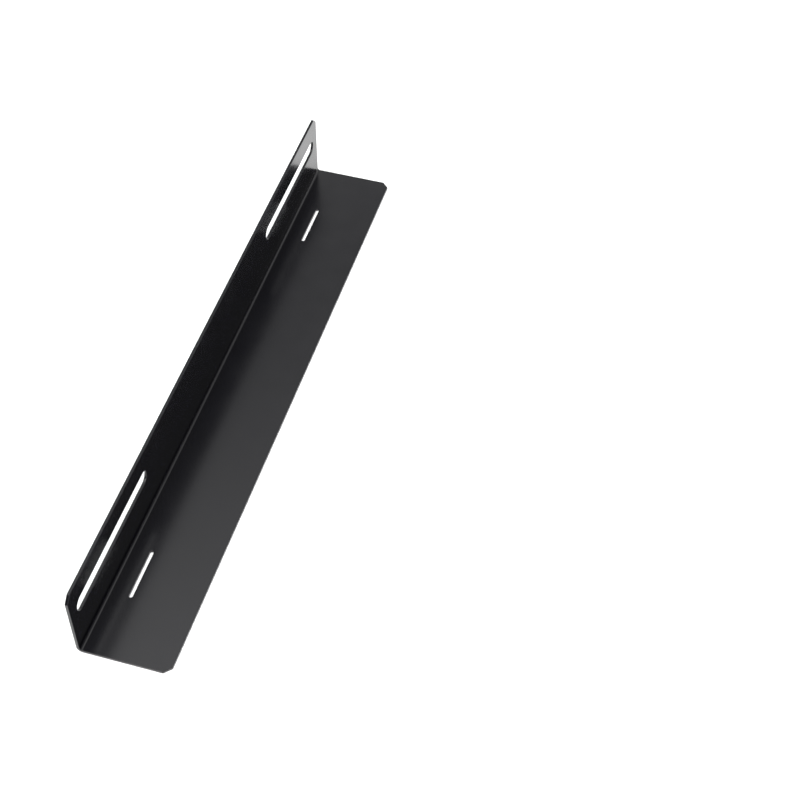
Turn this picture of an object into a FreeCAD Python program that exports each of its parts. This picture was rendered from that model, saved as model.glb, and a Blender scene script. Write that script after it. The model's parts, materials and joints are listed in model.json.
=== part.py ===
"""Fixed rack rail: steel sheet, cut and slotted flat, folded once along its length and powder coated.

The upright flange bolts to the front and rear posts of a rack through two long slots, which let
the rail slide to suit the depth between the posts. The shelf flange carries the equipment, and has
two narrow slots for ties. Both ends are alike, so the same rail serves either side of the rack.

Frame, in millimetres: X across the shelf from the upright, Y along the rail, Z up.
The origin is under the middle of the rail's footprint, on the shelf's underside.
"""

import FreeCAD, Part
import os

Vector = FreeCAD.Vector

# Sheet and fold
rail_length = 350.0
shelf_width = 46.0
upright_height = 41.5
sheet_thickness = 1.5
inside_bend_radius = 1.5
corner_cut = 3.5

# From each end of the rail to the middle of its slots
slot_station = 47.5

# Slots that bolt the upright to the rack's posts
post_slot_width = 8.2
post_slot_length = 82.0
post_slot_height = 25.7

# Slots for ties in the shelf
tie_slot_width = 1.9
tie_slot_length = 28.0
tie_slot_offset = 12.5

# Room that a cutter runs past each face of the sheet
cutter_overrun = 1.0

# Places that follow from the sizes
post_face_x = -shelf_width / 2
shelf_edge_x = shelf_width / 2
end_y = rail_length / 2
outside_bend_radius = inside_bend_radius + sheet_thickness
same_place = 1e-6

ALONG = Vector(0, 1, 0)


def quarter_arc(start, corner, finish):
    """The quarter circle from start to finish that rounds off a square corner."""
    centre = start + finish - corner
    radius = (start - centre).Length
    middle = centre + (corner - centre).normalize() * radius
    return Part.Arc(start, middle, finish).toShape()


def angle_section():
    """The rail's L-shaped section at its front end, with the fold's inside and outside radii."""

    def at(x, z):
        return Vector(x, -end_y, z)

    inner_face_x = post_face_x + sheet_thickness
    heel = at(post_face_x, 0)
    outer_start = at(post_face_x, outside_bend_radius)
    outer_finish = at(post_face_x + outside_bend_radius, 0)
    root = at(inner_face_x, sheet_thickness)
    inner_start = at(inner_face_x + inside_bend_radius, sheet_thickness)
    inner_finish = at(inner_face_x, sheet_thickness + inside_bend_radius)
    shelf_low = at(shelf_edge_x, 0)
    shelf_high = at(shelf_edge_x, sheet_thickness)
    top_inner = at(inner_face_x, upright_height)
    top_outer = at(post_face_x, upright_height)
    return Part.Face(
        Part.Wire(
            [
                Part.makeLine(top_outer, outer_start),
                quarter_arc(outer_start, heel, outer_finish),
                Part.makeLine(outer_finish, shelf_low),
                Part.makeLine(shelf_low, shelf_high),
                Part.makeLine(shelf_high, inner_start),
                quarter_arc(inner_start, root, inner_finish),
                Part.makeLine(inner_finish, top_inner),
                Part.makeLine(top_inner, top_outer),
            ]
        )
    )


def free_corner_edges(sheet):
    """The four short edges where a flange's free edge meets an end of the rail."""

    def is_free_corner(edge):
        middle = edge.CenterOfMass
        at_an_end = abs(abs(middle.y) - end_y) < same_place
        on_upright_top = abs(middle.z - upright_height) < same_place
        on_shelf_edge = abs(middle.x - shelf_edge_x) < same_place
        return at_an_end and (on_upright_top or on_shelf_edge)

    return [edge for edge in sheet.Edges if is_free_corner(edge)]


def folded_sheet():
    """The plain angle with its four free corners cut off at 45 degrees."""
    sheet = angle_section().extrude(ALONG * rail_length)
    return sheet.makeChamfer(corner_cut, free_corner_edges(sheet))


def slot_cutter(centre, across, through, width, length):
    """A round-ended slot along the rail, centred in the sheet, that cuts the way through points."""
    depth = sheet_thickness + 2 * cutter_overrun
    middle = centre - through * (depth / 2)
    to_side = across * (width / 2)
    to_round = ALONG * ((length - width) / 2)
    to_end = ALONG * (length / 2)
    outline = Part.Wire(
        [
            Part.makeLine(middle - to_round + to_side, middle + to_round + to_side),
            Part.Arc(middle + to_round + to_side, middle + to_end, middle + to_round - to_side).toShape(),
            Part.makeLine(middle + to_round - to_side, middle - to_round - to_side),
            Part.Arc(middle - to_round - to_side, middle - to_end, middle - to_round + to_side).toShape(),
        ]
    )
    return Part.Face(outline).extrude(through * depth)


def slot_cutters():
    """A post slot and a tie slot near each end."""
    sideways, upwards = Vector(1, 0, 0), Vector(0, 0, 1)
    cutters = []
    for slot_y in (slot_station - end_y, end_y - slot_station):
        post_slot = Vector(post_face_x + sheet_thickness / 2, slot_y, post_slot_height)
        tie_slot = Vector(post_face_x + tie_slot_offset, slot_y, sheet_thickness / 2)
        cutters.append(slot_cutter(post_slot, upwards, sideways, post_slot_width, post_slot_length))
        cutters.append(slot_cutter(tie_slot, sideways, upwards, tie_slot_width, tie_slot_length))
    return cutters


def rail():
    """The finished rail, one solid."""
    return folded_sheet().cut(slot_cutters()).Solids[0]


os.makedirs("parts", exist_ok=True)
finished = rail()
finished.exportStep("parts/rail.step")
print(f"rail: valid {finished.isValid()}, {len(finished.Faces)} faces, {finished.Volume:.1f} mm3")
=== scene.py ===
"""Fixed rack rail: a slotted steel angle, powder coated satin black, lying in a white studio."""

import json
import math

import bpy
from mathutils import Matrix, Vector


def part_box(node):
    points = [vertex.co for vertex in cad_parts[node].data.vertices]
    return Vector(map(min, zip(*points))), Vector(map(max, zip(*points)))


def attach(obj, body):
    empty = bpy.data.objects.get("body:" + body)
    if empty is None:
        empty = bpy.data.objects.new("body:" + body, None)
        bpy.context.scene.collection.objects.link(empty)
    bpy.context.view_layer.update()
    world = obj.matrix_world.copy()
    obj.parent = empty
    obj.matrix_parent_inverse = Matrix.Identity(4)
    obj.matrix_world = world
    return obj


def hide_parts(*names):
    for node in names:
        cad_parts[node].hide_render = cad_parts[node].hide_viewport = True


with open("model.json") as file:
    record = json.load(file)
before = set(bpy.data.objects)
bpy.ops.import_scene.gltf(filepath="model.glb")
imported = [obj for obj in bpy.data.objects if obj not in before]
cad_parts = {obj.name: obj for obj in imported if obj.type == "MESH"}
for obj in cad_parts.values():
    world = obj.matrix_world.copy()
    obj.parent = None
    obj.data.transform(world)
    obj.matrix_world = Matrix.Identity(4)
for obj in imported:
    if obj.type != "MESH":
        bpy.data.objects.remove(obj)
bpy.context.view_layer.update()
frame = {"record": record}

# The rail
# One blank of mild steel sheet, cut with clipped corners and round-ended slots, then folded once along
# its length on a press brake. It is powder coated all over, and the coat rounds its cut edges a little.

MILLIMETRE = 0.001
mounts = {mount["name"]: mount for mount in frame["record"]["mounts"]}
rail_low, rail_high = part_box("rail")
rail_length = rail_high.y - rail_low.y
shelf_width = rail_high.x - rail_low.x
upright_height = rail_high.z - rail_low.z
sheet_thickness = mounts["shelf_top"]["pos_m"][2]
inside_bend_radius = 1.5 * MILLIMETRE
corner_cut = 3.5 * MILLIMETRE
edge_radius = 0.2 * MILLIMETRE
sharp_edge_angle = math.radians(30.0)
merge_distance = 0.001 * MILLIMETRE

slot_end_steps = 16
fold_steps = 14
edge_steps = 3


def add_node(tree, kind, inputs=None, **options):
    """A new node with its options set, and each named input given a value or joined to a socket."""
    node = tree.nodes.new(kind)
    for option, choice in options.items():
        setattr(node, option, choice)
    for name, given in (inputs or {}).items():
        if isinstance(given, bpy.types.NodeSocket):
            tree.links.new(given, node.inputs[name])
        else:
            node.inputs[name].default_value = given
    return node


def reckon(tree, operation, first, second=0.0):
    """The result of one step of arithmetic, on sockets or plain numbers."""
    return add_node(tree, "ShaderNodeMath", {0: first, 1: second}, operation=operation).outputs[0]


def point(tree, x=0.0, y=0.0, z=0.0):
    """A vector from three sockets or plain numbers."""
    return add_node(tree, "ShaderNodeCombineXYZ", {"X": x, "Y": y, "Z": z}).outputs[0]


def new_tree(name, lengths):
    """An empty tree with a length input for each name and one mesh output, and its end sockets."""
    tree = bpy.data.node_groups.new(name, "GeometryNodeTree")
    for length in lengths:
        tree.interface.new_socket(length, in_out="INPUT", socket_type="NodeSocketFloat")
    tree.interface.new_socket("Mesh", in_out="OUTPUT", socket_type="NodeSocketGeometry")
    given = tree.nodes.new("NodeGroupInput").outputs
    result = tree.nodes.new("NodeGroupOutput").inputs
    return tree, given, result


def slotted_flange_tree():
    """A flat flange that runs out along X from the fold, with clipped free corners and two slots."""
    lengths = [
        "Width",
        "Length",
        "Corner cut",
        "Slot width",
        "Slot length",
        "Slot spacing",
        "Slot distance",
    ]
    tree, given, result = new_tree("Slotted flange", lengths)

    half_width = reckon(tree, "MULTIPLY", given["Width"], 0.5)
    plate = add_node(
        tree,
        "GeometryNodeCurvePrimitiveQuadrilateral",
        {"Width": given["Width"], "Height": given["Length"]},
    )
    position = add_node(tree, "GeometryNodeInputPosition").outputs[0]
    across = add_node(tree, "ShaderNodeSeparateXYZ", {0: position}).outputs["X"]
    on_free_edge = reckon(tree, "GREATER_THAN", across, 0.0)
    clipped = add_node(
        tree,
        "GeometryNodeFilletCurve",
        {
            "Curve": plate.outputs[0],
            "Count": 1,
            "Radius": reckon(tree, "MULTIPLY", on_free_edge, given["Corner cut"]),
        },
        mode="POLY",
    )
    outline = add_node(
        tree,
        "GeometryNodeTransform",
        {"Geometry": clipped.outputs[0], "Translation": point(tree, half_width)},
    )

    slot = add_node(
        tree,
        "GeometryNodeCurvePrimitiveQuadrilateral",
        {"Width": given["Slot width"], "Height": given["Slot length"]},
    )
    round_ended = add_node(
        tree,
        "GeometryNodeFilletCurve",
        {
            "Curve": slot.outputs[0],
            "Count": slot_end_steps,
            "Radius": reckon(tree, "MULTIPLY", given["Slot width"], 0.5),
            "Limit Radius": True,
        },
        mode="POLY",
    )
    places = add_node(
        tree,
        "GeometryNodeMeshLine",
        {
            "Count": 2,
            "Start Location": point(
                tree, given["Slot distance"], reckon(tree, "MULTIPLY", given["Slot spacing"], -0.5)
            ),
            "Offset": point(tree, y=given["Slot spacing"]),
        },
    )
    slots = add_node(
        tree,
        "GeometryNodeInstanceOnPoints",
        {"Points": places.outputs[0], "Instance": round_ended.outputs[0]},
    )
    cut_lines = add_node(tree, "GeometryNodeJoinGeometry")
    for curves in (outline, slots):
        tree.links.new(curves.outputs[0], cut_lines.inputs[0])
    realized = add_node(tree, "GeometryNodeRealizeInstances", {"Geometry": cut_lines.outputs[0]})
    flange = add_node(tree, "GeometryNodeFillCurve", {"Curve": realized.outputs[0]}, mode="NGONS")
    tree.links.new(flange.outputs[0], result["Mesh"])
    return tree


def folded_rail_tree(flange_tree):
    """The whole blank, flat and one sheet thick, wrapped round the fold so that the shelf lies level."""
    lengths = [
        "Rail length",
        "Shelf width",
        "Upright height",
        "Sheet thickness",
        "Inside bend radius",
        "Corner cut",
        "Post slot width",
        "Post slot length",
        "Post slot spacing",
        "Post slot height",
        "Tie slot width",
        "Tie slot length",
        "Tie slot spacing",
        "Tie slot offset",
    ]
    tree, given, result = new_tree("Folded rail", lengths)
    tree.interface.new_socket("Coat", in_out="INPUT", socket_type="NodeSocketMaterial")

    thickness = given["Sheet thickness"]
    outside_radius = reckon(tree, "ADD", given["Inside bend radius"], thickness)
    half_thickness = reckon(tree, "MULTIPLY", thickness, 0.5)
    middle_radius = reckon(tree, "ADD", given["Inside bend radius"], half_thickness)
    fold_length = reckon(tree, "MULTIPLY", middle_radius, math.pi / 2)

    def flange(width, slot_name, slot_place):
        """One flange of the blank, measured from where the fold ends."""
        slot_sizes = {
            "Slot " + size: given[f"{slot_name} slot {size}"] for size in ("width", "length", "spacing")
        }
        inputs = {
            "Width": reckon(tree, "SUBTRACT", width, outside_radius),
            "Length": given["Rail length"],
            "Corner cut": given["Corner cut"],
            "Slot distance": reckon(tree, "SUBTRACT", slot_place, outside_radius),
            **slot_sizes,
        }
        node = tree.nodes.new("GeometryNodeGroup")
        node.node_tree = flange_tree
        for name, socket in inputs.items():
            tree.links.new(socket, node.inputs[name])
        return node.outputs[0]

    shelf = add_node(
        tree,
        "GeometryNodeTransform",
        {
            "Geometry": flange(given["Shelf width"], "Tie", given["Tie slot offset"]),
            "Translation": point(tree, fold_length),
        },
    )
    upright = add_node(
        tree,
        "GeometryNodeTransform",
        {
            "Geometry": flange(given["Upright height"], "Post", given["Post slot height"]),
            "Rotation": (0.0, 0.0, math.pi),
        },
    )
    strip = add_node(
        tree,
        "GeometryNodeMeshGrid",
        {
            "Size X": fold_length,
            "Size Y": given["Rail length"],
            "Vertices X": fold_steps + 1,
            "Vertices Y": 2,
        },
    )
    fold = add_node(
        tree,
        "GeometryNodeTransform",
        {
            "Geometry": strip.outputs["Mesh"],
            "Translation": point(tree, reckon(tree, "MULTIPLY", fold_length, 0.5)),
        },
    )
    panels = add_node(tree, "GeometryNodeJoinGeometry")
    for panel in (shelf, upright, fold):
        tree.links.new(panel.outputs[0], panels.inputs[0])
    blank = add_node(
        tree, "GeometryNodeMergeByDistance", {"Geometry": panels.outputs[0], "Distance": merge_distance}
    )
    inner_side = add_node(
        tree,
        "GeometryNodeExtrudeMesh",
        {"Mesh": blank.outputs[0], "Offset Scale": thickness, "Individual": False},
    )
    outer_side = add_node(tree, "GeometryNodeFlipFaces", {"Mesh": blank.outputs[0]})
    both_sides = add_node(tree, "GeometryNodeJoinGeometry")
    for side in (inner_side, outer_side):
        tree.links.new(side.outputs[0], both_sides.inputs[0])
    flat_sheet = add_node(
        tree,
        "GeometryNodeMergeByDistance",
        {"Geometry": both_sides.outputs[0], "Distance": merge_distance},
    )

    position = add_node(tree, "GeometryNodeInputPosition").outputs[0]
    flat = add_node(tree, "ShaderNodeSeparateXYZ", {0: position}).outputs
    turned = add_node(
        tree, "ShaderNodeClamp", {"Value": reckon(tree, "DIVIDE", flat["X"], fold_length)}
    ).outputs[0]
    angle = reckon(tree, "MULTIPLY", reckon(tree, "SUBTRACT", 1.0, turned), math.pi / 2)
    radius = reckon(tree, "SUBTRACT", outside_radius, flat["Z"])
    past_fold = reckon(tree, "MAXIMUM", reckon(tree, "SUBTRACT", flat["X"], fold_length), 0.0)
    before_fold = reckon(tree, "MAXIMUM", reckon(tree, "MULTIPLY", flat["X"], -1.0), 0.0)
    fold_centre_x = reckon(
        tree, "SUBTRACT", outside_radius, reckon(tree, "MULTIPLY", given["Shelf width"], 0.5)
    )
    folded_x = reckon(
        tree,
        "ADD",
        reckon(
            tree,
            "SUBTRACT",
            fold_centre_x,
            reckon(tree, "MULTIPLY", radius, reckon(tree, "SINE", angle)),
        ),
        past_fold,
    )
    folded_z = reckon(
        tree,
        "ADD",
        reckon(
            tree,
            "SUBTRACT",
            outside_radius,
            reckon(tree, "MULTIPLY", radius, reckon(tree, "COSINE", angle)),
        ),
        before_fold,
    )
    folded = add_node(
        tree,
        "GeometryNodeSetPosition",
        {"Geometry": flat_sheet.outputs[0], "Position": point(tree, folded_x, flat["Y"], folded_z)},
    )
    realized = add_node(tree, "GeometryNodeRealizeInstances", {"Geometry": folded.outputs[0]})
    smooth = add_node(tree, "GeometryNodeSetShadeSmooth", {"Geometry": realized.outputs[0]})
    coated = add_node(
        tree, "GeometryNodeSetMaterial", {"Geometry": smooth.outputs[0], "Material": given["Coat"]}
    )
    tree.links.new(coated.outputs[0], result["Mesh"])
    return tree


# The coat's two near-black tones, and how large and deep its patches, lumps and grains are
coat_dark = (0.0003, 0.0003, 0.0016, 1.0)
coat_light = (0.0006, 0.0005, 0.0021, 1.0)
tone_patch = 40.0 * MILLIMETRE
gloss_patch = 15.0 * MILLIMETRE
roughness_low = 0.20
roughness_high = 0.24
peel_lump = 2.2 * MILLIMETRE
peel_depth = 0.0025 * MILLIMETRE
grain_lump = 0.35 * MILLIMETRE
grain_depth = 0.0008 * MILLIMETRE

# Nearly all of a noise lies between these
noise_low = 0.3
noise_high = 0.7


def black_powder_coat():
    """Satin black powder coat: a faint orange peel, a fine grain, and gloss that drifts a little."""
    material = bpy.data.materials.new("black_powder_coat")
    material.use_nodes = True
    tree = material.node_tree
    shader = tree.nodes["Principled BSDF"]
    where = add_node(tree, "ShaderNodeTexCoord").outputs["Object"]

    def noise(size, detail):
        """Even noise whose lumps are about this size."""
        return add_node(
            tree, "ShaderNodeTexNoise", {"Vector": where, "Scale": 1.0 / size, "Detail": detail}
        ).outputs["Fac"]

    def spread(value, low, high):
        """The noise stretched to run from low to high."""
        inputs = {
            "Value": value,
            "From Min": noise_low,
            "From Max": noise_high,
            "To Min": low,
            "To Max": high,
        }
        return add_node(tree, "ShaderNodeMapRange", inputs).outputs["Result"]

    def raised(lump, depth, below=None):
        """The surface's slope with lumps of this size and depth on top of the slope below."""
        inputs = {"Height": noise(lump, 1.0), "Distance": depth, "Strength": 1.0}
        if below is not None:
            inputs["Normal"] = below
        return add_node(tree, "ShaderNodeBump", inputs).outputs["Normal"]

    tone = spread(noise(tone_patch, 3.0), 0.0, 1.0)
    colour = add_node(
        tree, "ShaderNodeMix", {"Factor": tone, "A": coat_dark, "B": coat_light}, data_type="RGBA"
    ).outputs["Result"]
    tree.links.new(colour, shader.inputs["Base Color"])
    roughness = spread(noise(gloss_patch, 4.0), roughness_low, roughness_high)
    tree.links.new(roughness, shader.inputs["Roughness"])
    peel = raised(peel_lump, peel_depth)
    grain = raised(grain_lump, grain_depth, peel)
    tree.links.new(grain, shader.inputs["Normal"])
    return material


def make_rail():
    """The rail's finished mesh, with every cut edge softened."""
    post_slots = mounts["post_slots"]
    tie_slots = mounts["tie_slots"]
    sizes = {
        "Rail length": rail_length,
        "Shelf width": shelf_width,
        "Upright height": upright_height,
        "Sheet thickness": sheet_thickness,
        "Inside bend radius": inside_bend_radius,
        "Corner cut": corner_cut,
        "Post slot width": 2 * post_slots["dims"]["hole_r_mm"] * MILLIMETRE,
        "Post slot length": post_slots["dims"]["slot_length_mm"] * MILLIMETRE,
        "Post slot spacing": post_slots["dims"]["spacing_x_mm"] * MILLIMETRE,
        "Post slot height": post_slots["pos_m"][2] - rail_low.z,
        "Tie slot width": 2 * tie_slots["dims"]["hole_r_mm"] * MILLIMETRE,
        "Tie slot length": tie_slots["dims"]["slot_length_mm"] * MILLIMETRE,
        "Tie slot spacing": tie_slots["dims"]["spacing_y_mm"] * MILLIMETRE,
        "Tie slot offset": tie_slots["pos_m"][0] - rail_low.x,
        "Coat": black_powder_coat(),
    }
    tree = folded_rail_tree(slotted_flange_tree())
    rail = bpy.data.objects.new("folded_rail", bpy.data.meshes.new("folded_rail"))
    bpy.context.scene.collection.objects.link(rail)
    folding = rail.modifiers.new("Folded rail", "NODES")
    folding.node_group = tree
    for socket in tree.interface.items_tree:
        if socket.in_out == "INPUT":
            folding[socket.identifier] = sizes[socket.name]
    softening = rail.modifiers.new("Softened edges", "BEVEL")
    softening.width = edge_radius
    softening.segments = edge_steps
    softening.limit_method = "ANGLE"
    softening.angle_limit = sharp_edge_angle
    softening.use_clamp_overlap = False
    softening.loop_slide = False
    rail.modifiers.new("Flat faces shaded flat", "WEIGHTED_NORMAL")
    depsgraph = bpy.context.evaluated_depsgraph_get()
    finished = bpy.data.meshes.new_from_object(rail.evaluated_get(depsgraph))
    rail.modifiers.clear()
    rail.data = finished
    return rail


rail = make_rail()
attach(rail, "root")
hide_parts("rail")

# The floor
# A plain sheet of dull white paper, so wide that its edge is never seen.
# It is lit so strongly that it comes out pure white, with hardly a shadow.

floor_half_width = 20.0
floor_white = 0.9

floor_mesh = bpy.data.meshes.new("floor")
corner_signs = ((-1, -1), (1, -1), (1, 1), (-1, 1))
floor_corners = [(x * floor_half_width, y * floor_half_width, 0.0) for x, y in corner_signs]
floor_mesh.from_pydata(floor_corners, [], [(0, 1, 2, 3)])
floor = bpy.data.objects.new("floor", floor_mesh)
bpy.context.scene.collection.objects.link(floor)
floor_finish = bpy.data.materials.new("white_floor")
floor_finish.use_nodes = True
floor_shader = floor_finish.node_tree.nodes["Principled BSDF"]
floor_shader.inputs["Base Color"].default_value = (floor_white, floor_white, floor_white, 1.0)
floor_shader.inputs["Roughness"].default_value = 1.0
floor_shader.inputs["Specular IOR Level"].default_value = 0.0
floor_mesh.materials.append(floor_finish)

# The light
# A white tent all round the table, with black cloth hung far to the right, a soft lamp above the
# front, and a round black screen below the lamp. All of it is far away, so hardly a shadow falls.

# How bright the tent is by height, where each height is the sine of its elevation
tent_by_height = (
    (0.0, 1.3),
    (0.25, 1.3),
    (0.4, 1.4),
    (0.53, 1.35),
    (0.63, 0.5),
    (0.72, 0.5),
    (0.8, 1.12),
    (0.86, 1.75),
    (0.94, 2.15),
)
# What share of that it has from side to side, where -1 is due left and 1 is due right
tent_by_side = (
    (-1.0, 1.5),
    (-0.27, 1.13),
    (0.3, 0.75),
    (0.42, 1.3),
    (0.55, 1.2),
    (0.72, 0.15),
)
# Which way the lamp and the screen are, and how far from its middle each starts to fade and is gone
lamp_toward = Vector((0.0, -0.5, 0.866))
lamp_brightness = 9.8
lamp_fade_start = math.radians(14.0)
lamp_fade_end = math.radians(19.0)
screen_toward = Vector((-0.27, -0.77, 0.58))
screen_fade_start = math.radians(12.0)
screen_fade_end = math.radians(24.0)


def tent_brightness(tree, place, stops, lowest):
    """The brightness at a place that runs from lowest to 1, in a straight line from stop to stop."""
    along = add_node(tree, "ShaderNodeMapRange", {"Value": place, "From Min": lowest}).outputs["Result"]
    ramp = add_node(tree, "ShaderNodeValToRGB", {"Fac": along})
    elements = ramp.color_ramp.elements
    peak = max(brightness for _, brightness in stops)
    for number, (at, brightness) in enumerate(stops):
        position = (at - lowest) / (1.0 - lowest)
        element = elements[number] if number < len(elements) else elements.new(position)
        element.position = position
        element.color = (brightness / peak,) * 3 + (1.0,)
    return reckon(tree, "MULTIPLY", ramp.outputs["Color"], peak)


def round_patch(tree, direction, middle, fade_start, fade_end):
    """1 inside a round patch of the sky, fading to 0 outside it."""
    facing = add_node(
        tree, "ShaderNodeVectorMath", {0: direction, 1: middle}, operation="DOT_PRODUCT"
    ).outputs["Value"]
    inputs = {"Value": facing, "From Min": math.cos(fade_end), "From Max": math.cos(fade_start)}
    fade = add_node(tree, "ShaderNodeMapRange", inputs, interpolation_type="SMOOTHSTEP")
    return fade.outputs["Result"]


world = bpy.data.worlds.new("studio_tent")
bpy.context.scene.world = world
world.use_nodes = True
sky = world.node_tree
direction = add_node(sky, "ShaderNodeTexCoord").outputs["Generated"]
toward = add_node(sky, "ShaderNodeSeparateXYZ", {0: direction}).outputs
by_height = tent_brightness(sky, toward["Z"], tent_by_height, 0.0)
by_side = tent_brightness(sky, toward["X"], tent_by_side, -1.0)
tent = reckon(sky, "MULTIPLY", by_height, by_side)
screen = round_patch(sky, direction, screen_toward, screen_fade_start, screen_fade_end)
tent_past_screen = reckon(sky, "MULTIPLY", tent, reckon(sky, "SUBTRACT", 1.0, screen))
lamp = round_patch(sky, direction, lamp_toward, lamp_fade_start, lamp_fade_end)
lamp_glow = reckon(sky, "MULTIPLY", lamp, lamp_brightness)
background = sky.nodes["Background"]
background.inputs["Color"].default_value = (1.0, 1.0, 1.0, 1.0)
brightness = reckon(sky, "ADD", tent_past_screen, lamp_glow)
sky.links.new(brightness, background.inputs["Strength"])

# The camera
# It looks down along the rail from the front right, from where the photograph was taken.

camera_place = Vector((0.2263, -0.5093, 0.6271))
camera_turn = math.radians(15.94)
camera_dip = math.radians(49.02)
camera_roll = math.radians(0.47)
lens_millimetres = 71.19
film_millimetres = 36.0
nearest_seen = 0.01

lens = bpy.data.cameras.new("camera")
lens.lens = lens_millimetres
lens.sensor_width = film_millimetres
lens.clip_start = nearest_seen
camera = bpy.data.objects.new("camera", lens)
bpy.context.scene.collection.objects.link(camera)
camera.matrix_world = (
    Matrix.Translation(camera_place)
    @ Matrix.Rotation(camera_turn, 4, "Z")
    @ Matrix.Rotation(math.pi / 2 - camera_dip, 4, "X")
    @ Matrix.Rotation(camera_roll, 4, "Z")
)
bpy.context.scene.camera = camera
bpy.context.scene.view_settings.view_transform = "Standard"
